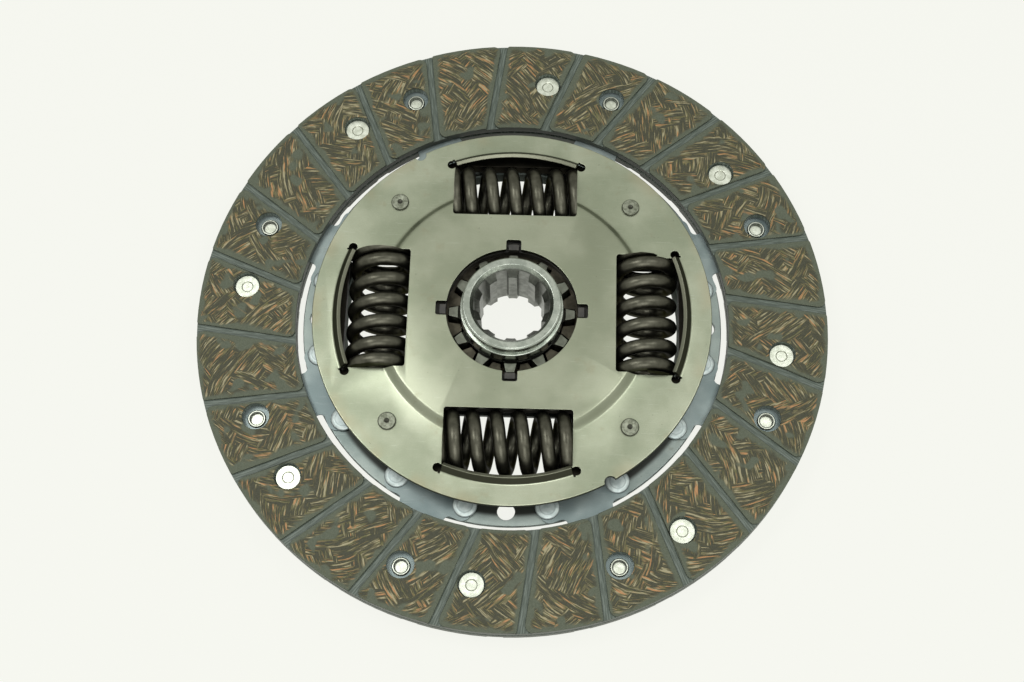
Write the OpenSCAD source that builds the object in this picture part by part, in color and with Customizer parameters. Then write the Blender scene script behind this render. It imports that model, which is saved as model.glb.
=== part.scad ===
// Clutch disc of a dry single-plate clutch, with lined cushion segments,
// a four-spring torsion damper and a splined hub.
// The hub axis is Z. The hub's flywheel-side end face lies at Z = 0, and the
// gearbox side faces +Z. All sizes are in millimetres and degrees.
// The radii build outwards from the spline bore, each from the one inside it.

/* [Spline bore] */
// Number of splines
spline_count = 10; // [6:1:14]
// Diameter to the bottom of the spline grooves
spline_major_d = 28.6; // [27:0.1:29.4]
// Depth of a spline groove
spline_depth = 2; // [1.2:0.1:2.4]
// Width of a spline groove
spline_w = 4.46; // [3:0.01:4.8]
// Radial width of the lead-in bevel at both ends of the bore
lead_in = 1.4; // [0.6:0.1:1.6]
// Length of the lead-in bevel at the nose, from the face to the splines' tips
lead_len = 4.9; // [3:0.1:6]

/* [Hub] */
// Wall between the spline grooves and the outside of the hub's body
hub_wall = 5.1; // [4.8:0.1:6]
// Step down from the body to the nose on the gearbox side
nose_step = 0.8; // [0.4:0.1:1.2]
// Step down from the body to the end on the flywheel side
tail_step = 1.4; // [0.6:0.1:1.6]
// Length of the nose beyond the collar
nose_len = 4.6; // [3:0.1:10]
// Length of the collar above the teeth
collar_len = 5.5; // [3:0.1:6.5]
// Length of the full body below the carrier plate
body_below = 0.9; // [0.4:0.1:1.5]
// Bevel on the hub's end faces
hub_bevel = 0.6; // [0.3:0.1:0.9]
// Small bevel on the collar and along the tooth tips
hub_edge = 0.3; // [0.1:0.05:0.4]
// Number of teeth that drive the hub flange
tooth_count = 12; // [8:1:12]
// Height of a hub tooth above the body
tooth_h = 4.45; // [4:0.05:5]
// Length of the hub's teeth
tooth_len = 8; // [6:0.1:8.6]
// Width of a hub tooth at its root
tooth_root_w = 5.1; // [4.6:0.1:5.8]
// Width of a hub tooth at its tip
tooth_tip_w = 3.3; // [2.6:0.1:3.8]
// Width of the relief groove round the collar's foot, outside the collar
relief_w = 0.9; // [0.5:0.1:1.4]
// Depth of the relief groove into the collar
relief_in = 0.3; // [0.2:0.1:0.5]
// Depth of the relief groove below the tops of the teeth
relief_below = 1.2; // [0.6:0.1:1.8]
// Height of the relief groove above the tops of the teeth
relief_above = 0.3; // [0.2:0.1:0.6]
// Angle by which the hub turns each way in the flange
hub_play = 3; // [1:0.5:3.5]
// Angle left between the teeth at the end of the play
tooth_gap_deg = 0.4; // [0.2:0.05:0.6]
// Radial gap between the teeth and the roots opposite
tooth_gap = 0.3; // [0.2:0.05:0.5]

/* [Damper springs] */
// Wire diameter of a damper spring
wire_d = 5.2; // [4.4:0.1:5.4]
// Outside diameter of a damper spring
spring_od = 25.4; // [24:0.1:26]
// Turns of wire in a damper spring
spring_turns = 6.65; // [6:0.05:6.7]
// Turns over which the pitch opens up after the closed turn at each end
opening_turns = 0.5; // [0.3:0.05:0.8]
// Gap between the wire's closed turns at a spring's end
closed_gap = 0.1; // [0.05:0.05:0.3]
// Thickness of the wire's tip where a spring's end is ground flat
tip_t = 1.3; // [0.8:0.1:2]
// Gap between a spring's end and its window
spring_end_gap = 0.1; // [0.05:0.05:0.3]
// Gap between a spring and the inner edge of its flange window
spring_in_gap = 0.35; // [0.3:0.05:0.8]
// Gap between a spring and the outer edge of its flange window
spring_out_gap = 0.55; // [0.3:0.05:0.8]
// Angle at which the wire of spring 1 starts
spring_start_1 = 169; // [0:1:359]
// Angle at which the wire of spring 2 starts
spring_start_2 = 316; // [0:1:359]
// Angle at which the wire of spring 3 starts
spring_start_3 = 76; // [0:1:359]
// Angle at which the wire of spring 4 starts
spring_start_4 = 105; // [0:1:359]

/* [Hub flange] */
// Thickness of the hub flange
flange_t = 5; // [4:0.1:5.6]
// Width of the flange's rim outside a spring
flange_rim = 6.55; // [5.6:0.05:6.8]
// Rounding at the inner corners of the flange windows
flange_inner_corner_r = 0.6; // [0.3:0.1:0.7]
// Rounding at the bottom corners of the notches for the stop pins
notch_corner_r = 2; // [1:0.1:2.6]
// Rounding at the outer corners of the flange windows
flange_outer_corner_r = 0.8; // [0.4:0.1:1.2]
// Angle by which the flange turns each way before a pin stops it
flange_travel = 8; // [5:0.5:9]
// Angle left between a stop pin and its notch at the end of the travel
stop_gap_deg = 0.3; // [0.2:0.05:0.6]
// Gap between a stop pin and the bottom of its notch
notch_gap = 0.2; // [0.15:0.05:0.6]

/* [Friction rings, thrust ring and bush] */
// Radial gap between the hub's teeth and the retainer plate's centre hole
centre_gap = 0.85; // [0.6:0.05:1.2]
// Step of a part's bore behind the edge of the part in front of it
bore_step = 0.2; // [0.1:0.05:0.4]
// Radial width of the thrust ring
thrust_w = 11.1; // [9:0.1:12]
// Thickness of the thrust ring
thrust_t = 2; // [1.4:0.1:2.6]
// Width of a lug on the thrust ring
lug_w = 4; // [3.5:0.1:4.9]
// Radial depth of a lug on the thrust ring
lug_depth = 2.4; // [1.6:0.1:2.8]
// Height of a lug above the retainer plate's inner face
lug_rise = 0.7; // [0.3:0.1:1.8]
// Distance by which the friction rings reach beyond the thrust ring
ring_over = 0.5; // [0.2:0.1:0.6]
// Thickness of the gearbox-side friction ring
gear_ring_t = 1.6; // [1.2:0.1:2.2]
// Thickness of the flywheel-side friction ring
fly_ring_t = 2.4; // [2.2:0.1:3.2]
// Radial gap between the thrust ring's lugs and the disc spring
lug_spring_gap = 1.7; // [0.5:0.1:2.5]
// Distance by which the disc spring reaches beyond the thrust ring
disc_spring_over = 1; // [0.4:0.1:1.4]
// Sheet thickness of the disc spring
disc_spring_t = 0.8; // [0.5:0.05:1]
// Fitted height of the disc spring
disc_spring_h = 1.25; // [1.1:0.05:2]
// Running clearance of the bush on the hub, on the radius
bush_play = 0.05; // [0.03:0.01:0.1]
// Wall of the bush in the carrier plate's bore
bush_wall = 2.55; // [1.8:0.05:2.8]
// Clearance of the bush in the carrier plate, on the radius
bush_fit = 0.05; // [0.03:0.01:0.1]
// Distance by which the bush's flange reaches beyond the hub's teeth
bush_over = 1.05; // [0.4:0.05:1.4]
// Radial gap between the bush's flange and the friction ring
bush_ring_gap = 0.6; // [0.2:0.1:1]
// Gap between the bush's flange and the hub flange
bush_gap = 0.1; // [0.05:0.05:0.3]

/* [Spring windows] */
// Half of a window's length along the spring
window_half = 23.7; // [22:0.1:24.2]
// Gap from the friction rings out to the flange windows
flange_window_gap = 0.4; // [0.2:0.1:1]
// Inner edge of the carrier plate's windows beyond that of the flange's
carrier_window_step = 0.6; // [0:0.1:0.8]
// Inner edge of the retainer plate's windows beyond that of the flange's
retainer_window_step = 2.3; // [0:0.1:2.4]
// Rounding at a window's inner corners
window_corner_r = 1; // [0.5:0.1:2]
// Distance from a spring out to the bend of its lips
lip_gap = 5.55; // [5:0.05:6]
// Inside radius of the lip's bend
lip_bend_r = 1; // [0.6:0.1:1.6]
// Angle through which the lip is bent
lip_turn = 58; // [45:1:65]
// Straight length of a lip on the retainer plate
retainer_lip_len = 2.85; // [1:0.05:3.1]
// Straight length of a lip on the carrier plate
carrier_lip_len = 4.55; // [1:0.05:4.8]
// Length by which each end of a lip reaches beyond the window's corner
lip_over = 0.63; // [0.2:0.01:0.8]
// Small bevel along a lip's free edge
lip_edge = 0.25; // [0.1:0.05:0.4]
// Depth to which a lip's root is let into its plate
lip_root = 0.8; // [0.4:0.1:1.2]
// Distance of a window's outer edge behind the start of its lip's bend
lip_seat = 0.2; // [0.1:0.05:0.3]
// Width of the slot at each end of a lip
lip_slot = 0.7; // [0.4:0.1:1]
// Diameter of the relief hole at each end of a lip
relief_d = 3.3; // [2.4:0.1:3.8]
// Distance of the relief holes beyond the ends of their window
relief_over = 1.6; // [1.2:0.1:2]

/* [Stop pins] */
// Distance of the stop pins' axes inside the flange's rim
pin_inset = 6.2; // [5.8:0.1:6.6]
// Diameter of a stop pin between the plates
pin_d = 8.8; // [8:0.1:9.2]
// Diameter of a stop pin where it passes through a plate
pin_tenon_d = 5.7; // [4.5:0.1:6.2]
// Diameter of a stop pin's closed head
pin_head_d = 6.8; // [6.6:0.1:8]
// Height of a stop pin's closed head
pin_head_t = 1.1; // [0.8:0.1:1.4]
// Bevel round a stop pin's closed head
pin_bevel = 0.4; // [0.2:0.1:0.6]
// Radius of the dimple in a stop pin's head
pin_dimple_r = 1; // [0.5:0.1:1.6]
// Depth of the dimple in a stop pin's head
pin_dimple = 0.45; // [0.2:0.05:0.7]

/* [Retainer plate] */
// Thickness of the retainer plate
retainer_t = 2; // [1.6:0.1:2.6]
// Width of the retainer plate's rim outside its lips
retainer_rim = 7.2; // [5:0.1:8]
// Height by which the middle of the retainer plate stands up
retainer_raise = 2.75; // [2:0.05:3.2]
// Width of the raised middle beyond the disc spring
raised_over = 12; // [8:0.1:14]
// Radial length of the step round the raised middle
joggle_w = 4; // [3:0.1:5.5]
// Depth of the lug notches beyond the centre hole
lug_notch = 3.9; // [3:0.1:5]
// Gap between a lug and the sides of its notch
lug_side_gap = 0.8; // [0.3:0.05:0.9]
// Rounding at the bottom of a lug notch
lug_notch_r = 0.8; // [0.4:0.1:1.2]
// Radius of the two notches in the retainer plate's rim
rim_notch_r = 2.2; // [1:0.1:3]
// Angle of the first of the two notches in the rim
rim_notch_angle = 120; // [115:1:125]
// Small bevel round the plates' rims
edge_break = 0.3; // [0.1:0.05:0.5]

/* [Segment rivets] */
// Diameter of a segment rivet's head
segment_head_d = 9.1; // [8.4:0.1:9.4]
// Height of a segment rivet's head
segment_head_t = 1.3; // [1:0.1:1.7]
// Diameter of a segment rivet's shank
segment_shank_d = 5; // [4:0.1:5.4]
// Diameter of the closed end of a segment rivet
segment_tail_d = 8; // [7:0.1:9]
// Height of the closed end of a segment rivet
segment_tail_t = 1.2; // [0.8:0.1:1.6]
// Bevel round the closed end of a segment rivet
segment_bevel = 0.5; // [0.2:0.1:0.7]
// Gap between the hub flange's rim and the segment rivets' heads
flange_rivet_gap = 0.55; // [0.3:0.05:0.9]
// Half of the angle between the two rivets of a foot
segment_rivet_half = 10.75; // [9.8:0.05:11.5]

/* [Carrier plate] */
// Thickness of the carrier plate
carrier_t = 2; // [1.6:0.1:2.6]
// Width of the carrier plate's rim outside the rivet heads
carrier_rim = 1.25; // [0.8:0.05:1.8]
// Diameter of the four open holes in the carrier plate
open_hole_d = 6.6; // [4:0.1:7.2]
// Clear height under the springs when the hub rests on its end
floor_gap = 0.25; // [0.1:0.05:1]

/* [Cushion segments] */
// Sheet thickness of a cushion segment
cushion_t = 0.7; // [0.5:0.05:0.9]
// Height of a cushion segment's wave
cushion_wave = 0.5; // [0.3:0.05:0.8]
// Length of each slope of the wave
wave_ramp = 4; // [3:0.5:6]
// Place where the wave first comes down, from the paddle's middle
wave_down = -34; // [-36:0.5:-30]
// Place where the wave goes up again
wave_up = -2; // [-6:0.5:4]
// Place where the wave comes down for the last time
wave_last = 25; // [21:0.5:29]
// Angle between two neighbouring paddles
paddle_gap_deg = 4; // [2.6:0.1:6]
// Distance of a paddle's inner edge outside the facings' inner rim
paddle_in = 1.8; // [1:0.1:4]
// Distance of a paddle's outer edge inside the facings' outer rim
paddle_out = 2.2; // [1:0.1:6]
// Rounding at a paddle's outer corners
paddle_corner_r = 6; // [2:0.5:9]
// Width of the neck between foot and paddle
neck_w = 17.8; // [12:0.1:22]
// Rounding where the neck leaves the foot
neck_fillet = 2; // [1:0.1:2.4]
// Width of sheet between a segment rivet's shank and the foot's edge
foot_edge = 2.2; // [1.8:0.1:2.4]
// Length of a foot beyond its rivets
foot_over = 3.4; // [3:0.1:4.4]

/* [Friction facings] */
// Gap between the carrier plate's rim and the facings
facing_gap = 2.4; // [1.6:0.1:4]
// Radial width of both facings
facing_w = 37.5; // [34:0.5:40]
// Thickness of one facing
facing_t = 3.4; // [3:0.1:4]
// Number of grooves in one facing
groove_count = 24; // [12:1:28]
// Width of a groove
groove_w = 2.6; // [1.6:0.1:3.2]
// Depth of a groove
groove_depth = 1; // [0.5:0.1:1.6]
// Distance by which a groove's line misses the axis
groove_offset = 21.6; // [15:0.1:26]
// Direction of the first groove
groove_start = -7.3; // [-9:0.1:-5.5]
// Rounding at a pad's sharp corners
pad_sharp_r = 2.7; // [1.5:0.1:4]
// Rounding at a pad's blunt corners
pad_blunt_r = 0.9; // [0.5:0.1:2]

/* [Facing rivets] */
// Distance of the facing rivets outside the middle of the facings' width
facing_rivet_shift = 1.85; // [0:0.05:3]
// Angle of the first rivet that holds the gearbox-side facing
rivet_gear_angle = 38.6; // [38:0.1:39.5]
// Angle of the first rivet that holds the flywheel-side facing
rivet_fly_angle = 23.8; // [23.3:0.1:25]
// Diameter of a facing rivet's head
facing_head_d = 9.4; // [8.6:0.1:9.8]
// Thickness of a facing rivet's head
facing_head_t = 0.6; // [0.45:0.05:1]
// Radial gap round a head or a rolled end in its counterbore
head_gap = 0.4; // [0.2:0.05:0.6]
// Lining left under a rivet head
lining_web = 0.6; // [0.5:0.1:1.2]
// Diameter of the dimple in a facing rivet's head
dimple_d = 3.9; // [3:0.1:4.6]
// Depth of the dimple in a facing rivet's head
dimple_depth = 0.3; // [0.1:0.05:0.35]
// Diameter of a facing rivet's shank
facing_shank_d = 5.6; // [5.2:0.1:6]
// Bore of the hollow end of a facing rivet
facing_tube_d = 4.7; // [4:0.1:4.8]
// Depth of the hollow end of a facing rivet
facing_hollow = 1.4; // [0.8:0.1:1.6]
// Diameter of the rolled end of a facing rivet
facing_tail_d = 7; // [6.6:0.1:7.6]
// Height of the rolled end of a facing rivet
facing_tail_h = 0.8; // [0.6:0.1:1.2]
// Small bevel on a facing rivet's edges
rivet_edge = 0.2; // [0.1:0.05:0.25]
// Assembly clearance round the rivets, on the radius
rivet_fit = 0.05; // [0.03:0.01:0.1]

/* [Hidden] */
$fn = 96;

// Angle from one cushion segment to the next, and middle of the first one's neck
segment_count = 8;
segment_pitch = 360 / segment_count;
neck_angle = segment_pitch / 2;
window_count = 4;
window_pitch = 360 / window_count;
// Overshoot of every cut past the faces that it opens
over = 1;

// Radii of the hub
spline_minor_d = spline_major_d - 2 * spline_depth;
lead_in_r = spline_major_d / 2 + lead_in;
hub_r = spline_major_d / 2 + hub_wall;
nose_r = hub_r - nose_step;
tail_r = hub_r - tail_step;
tooth_r = hub_r + tooth_h;
// Radii of the rings round the hub
centre_hole_r = tooth_r + centre_gap;
thrust_in_r = centre_hole_r + bore_step;
thrust_r = thrust_in_r + thrust_w;
friction_ring_r = thrust_r + ring_over;
disc_spring_in_r = thrust_in_r + lug_depth + lug_spring_gap;
disc_spring_r = thrust_r + disc_spring_over;
carrier_bore_r = hub_r + bush_play + bush_wall + bush_fit;
bush_flange_r = tooth_r + bush_over;
// Radii of the windows and of the springs in them
flange_window_in = friction_ring_r + flange_window_gap;
spring_r = flange_window_in + spring_in_gap + spring_od / 2;
spring_out = spring_r + spring_od / 2;
flange_window_out = spring_out + spring_out_gap;
carrier_window_in = flange_window_in + carrier_window_step;
retainer_window_in = flange_window_in + retainer_window_step;
lip_r = spring_out + lip_gap;
// Half of the angle that a lip covers, and the angle to its relief holes, both
// to the nearest tenth of a degree
lip_half_deg = round(10 * asin((window_half + lip_over) / lip_r)) / 10;
relief_deg = round(10 * asin((window_half + relief_over) / (lip_r - relief_d / 2))) / 10;
// Radii of the plates and of the facings
raised_r = disc_spring_r + raised_over;
flange_r = spring_out + flange_rim;
pin_pcr = flange_r - pin_inset;
retainer_r = lip_r + retainer_rim;
segment_rivet_pcr = flange_r + flange_rivet_gap + segment_head_d / 2;
carrier_r = segment_rivet_pcr + segment_head_d / 2 + carrier_rim;
facing_in_r = carrier_r + facing_gap;
facing_out_r = facing_in_r + facing_w;
facing_rivet_pcr = facing_in_r + facing_w / 2 + facing_rivet_shift;
paddle_in_r = facing_in_r + paddle_in;
paddle_out_r = facing_out_r - paddle_out;
paddle_half_deg = (segment_pitch - paddle_gap_deg) / 2;
foot_w = segment_shank_d + 2 * foot_edge;
counterbore_d = facing_head_d + 2 * head_gap;

// Heights in the stack, from the flywheel side up
carrier_z = spring_od / 2 + floor_gap - flange_t / 2 - fly_ring_t - carrier_t;
carrier_top = carrier_z + carrier_t;
flange_z = carrier_top + fly_ring_t;
flange_top = flange_z + flange_t;
thrust_z = flange_top + gear_ring_t;
disc_spring_z = thrust_z + thrust_t;
raised_z = disc_spring_z + disc_spring_h;
retainer_z = raised_z - retainer_raise;
retainer_top = retainer_z + retainer_t;
facing_gear_z = carrier_top + cushion_t + cushion_wave;
tail_len = carrier_z - body_below;
collar_top = flange_z + tooth_len + collar_len;
hub_len = collar_top + nose_len;

// The paddle lies midway between its two facing rivets
paddle_angle = (rivet_gear_angle + rivet_fly_angle) / 2 - neck_angle;
// The flywheel-side facing is the same part turned over, so that its
// counterbores lie where the gearbox-side facing has its access holes
turned_angle = rivet_gear_angle + rivet_fly_angle - segment_pitch;

function polar(r, a) = [r * cos(a), r * sin(a)];
function arc(c, r, a0, a1, n) =
    [for (i = [0:n]) c + polar(r, a0 + (a1 - a0) * i / n)];
// Point on the circle of radius r whose second coordinate is y
function on_circle(r, y) = [sqrt(r * r - y * y), y];

// Points of a corner at q, rounded with radius r, between p and s
function corner(p, q, s, r, n) =
    let (u = (p - q) / norm(p - q))
    let (v = (s - q) / norm(s - q))
    let (half = acos(u * v) / 2)
    let (c = q + (u + v) / norm(u + v) * r / sin(half))
    let (a = q + u * r / tan(half) - c)
    let (side = u[0] * v[1] - u[1] * v[0] < 0 ? 1 : -1)
    let (start = atan2(a[1], a[0]))
    arc(c, r, start, start + side * (180 - 2 * half), n);
// Outline whose points are given as [place, corner radius]
function rounded(pts, n) =
    let (k = len(pts))
    [for (i = [0:k - 1])
        each (pts[i][1] == 0 ? [pts[i][0]] :
            corner(pts[(i + k - 1) % k][0], pts[i][0], pts[(i + 1) % k][0], pts[i][1], n))];
function plain(pts) = [for (p = pts) [p, 0]];

module around(n, start) {
    for (i = [0:n - 1])
        rotate(start + i * 360 / n)
            children();
}

module ring(r_in, r_out, z, h) {
    translate([0, 0, z])
        difference() {
            cylinder(h = h, r = r_out);
            translate([0, 0, -over])
                cylinder(h = h + 2 * over, r = r_in);
        }
}

// Outline of one groove along +X, flared at both ends by the pads' corners
flare_stop = 8;
function groove_outline(r_in, r_out) =
    let (hi = groove_offset + groove_w / 2)
    let (lo = groove_offset - groove_w / 2)
    let (c1 = on_circle(r_out - pad_sharp_r, hi + pad_sharp_r))
    let (c2 = on_circle(r_out - pad_blunt_r, lo - pad_blunt_r))
    let (c3 = on_circle(r_in + pad_sharp_r, lo - pad_sharp_r))
    let (c4 = on_circle(r_in + pad_blunt_r, hi + pad_blunt_r))
    let (a1 = atan2(c1[1], c1[0]))
    let (a2 = atan2(c2[1], c2[0]))
    let (a3 = atan2(c3[1], c3[0]))
    let (a4 = atan2(c4[1], c4[0]))
    concat(
        arc(c1, pad_sharp_r, -90, a1 - flare_stop, 6),
        [c1 + polar(pad_sharp_r + 3, a1 - flare_stop)],
        [c2 + polar(pad_blunt_r + 3, a2 + flare_stop)],
        arc(c2, pad_blunt_r, a2 + flare_stop, 90, 3),
        arc(c3, pad_sharp_r, 90, a3 + 180 - flare_stop, 6),
        [c3 + polar(pad_sharp_r + 3, a3 + 180 - flare_stop)],
        [c4 + polar(pad_blunt_r + 3, a4 - 180 + flare_stop)],
        arc(c4, pad_blunt_r, a4 - 180 + flare_stop, -90, 3));

// One facing with its grooved face up and its back at height zero
module facing() {
    difference() {
        cylinder(h = facing_t, r = facing_out_r, $fn = 180);
        translate([0, 0, -over])
            cylinder(h = facing_t + 2 * over, r = facing_in_r, $fn = 180);
        around(groove_count, groove_start)
            translate([0, 0, facing_t - groove_depth])
                linear_extrude(groove_depth + over)
                    polygon(groove_outline(facing_in_r, facing_out_r));
        around(segment_count, rivet_gear_angle)
            translate([facing_rivet_pcr, 0, 0]) {
                translate([0, 0, lining_web])
                    cylinder(h = facing_t, d = counterbore_d, $fn = 48);
                translate([0, 0, -over])
                    cylinder(h = facing_t, r = facing_shank_d / 2 + rivet_fit, $fn = 48);
            }
        around(segment_count, rivet_fly_angle)
            translate([facing_rivet_pcr, 0, -over])
                cylinder(h = facing_t + 2 * over, d = counterbore_d, $fn = 48);
    }
}

module facing_gearbox_side() {
    color("darkolivegreen")
        translate([0, 0, facing_gear_z])
            facing();
}

module facing_flywheel_side() {
    color("olive")
        translate([0, 0, carrier_top])
            rotate(turned_angle)
                rotate([180, 0, 0])
                    facing();
}

// Hollow rivet with its head up, seated on height zero, through a grip below
module facing_rivet(grip) {
    head_r = facing_head_d / 2;
    shank_r = facing_shank_d / 2;
    tube_r = facing_tube_d / 2;
    roll_r = facing_tail_d / 2;
    end = -grip - facing_tail_h;
    rotate_extrude($fn = 40)
        polygon([
            [0, facing_head_t - dimple_depth],
            [dimple_d / 2, facing_head_t - dimple_depth],
            [dimple_d / 2 + dimple_depth, facing_head_t],
            [head_r - rivet_edge, facing_head_t],
            [head_r, facing_head_t - rivet_edge],
            [head_r, 0],
            [shank_r, 0],
            [shank_r, -grip],
            [roll_r - rivet_edge, -grip],
            [roll_r, -grip - facing_tail_h / 3],
            [roll_r - rivet_edge, end + rivet_edge],
            [roll_r - 2 * rivet_edge, end],
            [tube_r + rivet_edge, end],
            [tube_r, end + rivet_edge],
            [tube_r, end + facing_hollow],
            [0, end + facing_hollow]
        ]);
}

module facing_rivets_gearbox_side() {
    color("gainsboro")
        around(segment_count, rivet_gear_angle)
            translate([facing_rivet_pcr, 0, facing_gear_z + lining_web])
                facing_rivet(lining_web + cushion_t);
}

module facing_rivets_flywheel_side() {
    color("silver")
        around(segment_count, rivet_fly_angle)
            translate([facing_rivet_pcr, 0, carrier_top - lining_web])
                rotate([180, 0, 0])
                    facing_rivet(lining_web + cushion_t);
}

// Foot and neck, with the neck's middle along +X
function foot_outline() =
    let (in_r = segment_rivet_pcr - foot_w / 2)
    let (out_r = segment_rivet_pcr + foot_w / 2)
    let (half = segment_rivet_pcr * sin(segment_rivet_half) + foot_over)
    rounded([
        [[in_r, -half], foot_over],
        [[out_r, -half], foot_over],
        [[out_r, -neck_w / 2], neck_fillet],
        [[paddle_in_r + neck_fillet, -neck_w / 2], 0],
        [[paddle_in_r + neck_fillet, neck_w / 2], 0],
        [[out_r, neck_w / 2], neck_fillet],
        [[out_r, half], foot_over],
        [[in_r, half], foot_over]
    ], 6);

// Paddle with its middle along +X
function paddle_outline() =
    let (a = paddle_half_deg)
    rounded(concat(
        [[polar(paddle_in_r, -a), paddle_corner_r / 2]],
        [[polar(paddle_out_r, -a), paddle_corner_r]],
        plain(arc([0, 0], paddle_out_r, -a + 5, a - 5, 12)),
        [[polar(paddle_out_r, a), paddle_corner_r]],
        [[polar(paddle_in_r, a), paddle_corner_r / 2]],
        plain(arc([0, 0], paddle_in_r, a - 5, -a + 5, 12))), 5);

// Section of the waved sheet along the paddle, from end to end
function wave_line() =
    let (step = [0, cushion_wave])
    let (end = paddle_out_r * sin(paddle_half_deg) + over)
    [
        [-end, 0] + step,
        [wave_down, 0] + step,
        [wave_down + wave_ramp, 0],
        [wave_up, 0],
        [wave_up + wave_ramp, 0] + step,
        [wave_last, 0] + step,
        [wave_last + wave_ramp, 0],
        [end, 0]
    ];

module cushion_segment(k) {
    line = wave_line();
    back = [for (i = [len(line) - 1:-1:0]) line[i] + [0, cushion_t]];
    place = facing_rivet_pcr;
    translate([0, 0, carrier_top])
        rotate(neck_angle + (k - 1) * segment_pitch)
            difference() {
                union() {
                    linear_extrude(cushion_t)
                        polygon(foot_outline());
                    rotate(paddle_angle)
                        intersection() {
                            linear_extrude(cushion_t + cushion_wave + over)
                                polygon(paddle_outline());
                            translate([paddle_in_r - 20, 0, 0])
                                rotate([90, 0, 90])
                                    linear_extrude(paddle_out_r - paddle_in_r + 40)
                                        polygon(concat(line, back));
                        }
                }
                for (a = [-segment_rivet_half, segment_rivet_half])
                    rotate(a)
                        translate([segment_rivet_pcr, 0, -over])
                            cylinder(h = cushion_t + 2 * over,
                                r = segment_shank_d / 2 + rivet_fit, $fn = 48);
                for (a = [rivet_gear_angle - neck_angle, rivet_fly_angle - neck_angle])
                    rotate(a)
                        translate([place, 0, -over])
                            cylinder(h = cushion_t + cushion_wave + 2 * over,
                                r = facing_shank_d / 2 + rivet_fit, $fn = 48);
            }
}

module cushion_segment_1() { color("lightsteelblue") cushion_segment(1); }
module cushion_segment_2() { color("slategray") cushion_segment(2); }
module cushion_segment_3() { color("lightsteelblue") cushion_segment(3); }
module cushion_segment_4() { color("slategray") cushion_segment(4); }
module cushion_segment_5() { color("lightsteelblue") cushion_segment(5); }
module cushion_segment_6() { color("slategray") cushion_segment(6); }
module cushion_segment_7() { color("lightsteelblue") cushion_segment(7); }
module cushion_segment_8() { color("slategray") cushion_segment(8); }

// Places of the segment rivets, two to a foot
module at_segment_rivets() {
    around(segment_count, neck_angle)
        for (a = [-segment_rivet_half, segment_rivet_half])
            rotate(a)
                translate([segment_rivet_pcr, 0, 0])
                    children();
}

module segment_rivets() {
    head_r = segment_head_d / 2;
    shank_r = segment_shank_d / 2;
    end_r = segment_tail_d / 2;
    seat = carrier_top + cushion_t;
    color("steelblue")
        at_segment_rivets()
            rotate_extrude($fn = 48)
                polygon([
                    [0, carrier_z - segment_tail_t],
                    [end_r - segment_bevel, carrier_z - segment_tail_t],
                    [end_r, carrier_z - segment_tail_t + segment_bevel],
                    [end_r, carrier_z],
                    [shank_r, carrier_z],
                    [shank_r, seat],
                    [head_r, seat],
                    [head_r, seat + 0.45 * segment_head_t],
                    [0.9 * head_r, seat + 0.75 * segment_head_t],
                    [0.68 * head_r, seat + 0.95 * segment_head_t],
                    [0.4 * head_r, seat + segment_head_t],
                    [0, seat + segment_head_t]
                ]);
}

// Profile of a window's lip. Height zero is the plate's outer face, and the
// plate of thickness t lies below it
function lip_profile(t, len) =
    let (c = [lip_r, lip_bend_r])
    let (dir = [-cos(lip_turn), sin(lip_turn)])
    let (out = [-sin(lip_turn), -cos(lip_turn)])
    let (near = c + lip_bend_r * out + len * dir)
    let (far = c + (lip_bend_r + t) * out + len * dir)
    concat(
        [[lip_r + lip_root, lip_edge - t], [lip_r + lip_root, 0]],
        [for (i = [0:5]) c + lip_bend_r * [-sin(lip_turn * i / 5), -cos(lip_turn * i / 5)]],
        [near + lip_edge * out],
        [far - lip_edge * out],
        [for (i = [7:-1:0])
            c + (lip_bend_r + t) * [-sin(lip_turn * i / 7), -cos(lip_turn * i / 7)]]);

// The four lips of a plate, standing up from height zero
module lips(t, len) {
    around(window_count, -lip_half_deg)
        rotate_extrude(angle = 2 * lip_half_deg, $fn = 180)
            polygon(lip_profile(t, len));
}

// Outline of one window along +X, with the relief at both ends of its lip
module window_outline(in_r) {
    end_deg = lip_half_deg + asin(lip_slot / lip_r);
    slot_r = lip_r - 2 * relief_d;
    intersection() {
        circle(r = lip_r + lip_seat, $fn = 180);
        union() {
            polygon(rounded([
                [[in_r, -window_half], window_corner_r],
                [[2 * lip_r, -window_half], 0],
                [[2 * lip_r, window_half], 0],
                [[in_r, window_half], window_corner_r]
            ], 4));
            polygon([
                polar(slot_r, -end_deg),
                polar(2 * lip_r, -end_deg),
                polar(2 * lip_r, end_deg),
                polar(slot_r, end_deg)
            ]);
        }
    }
    for (a = [-relief_deg, relief_deg])
        rotate(a)
            translate([lip_r - relief_d / 2, 0])
                circle(d = relief_d, $fn = 32);
}

// Cuts the four windows through a plate between two heights
module cut_windows(in_r, z0, z1) {
    around(window_count, 0)
        translate([0, 0, z0])
            linear_extrude(z1 - z0)
                window_outline(in_r);
}

// Places of the stop pins, midway between the windows
module at_pins() {
    around(window_count, window_pitch / 2)
        translate([pin_pcr, 0, 0])
            children();
}

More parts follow.
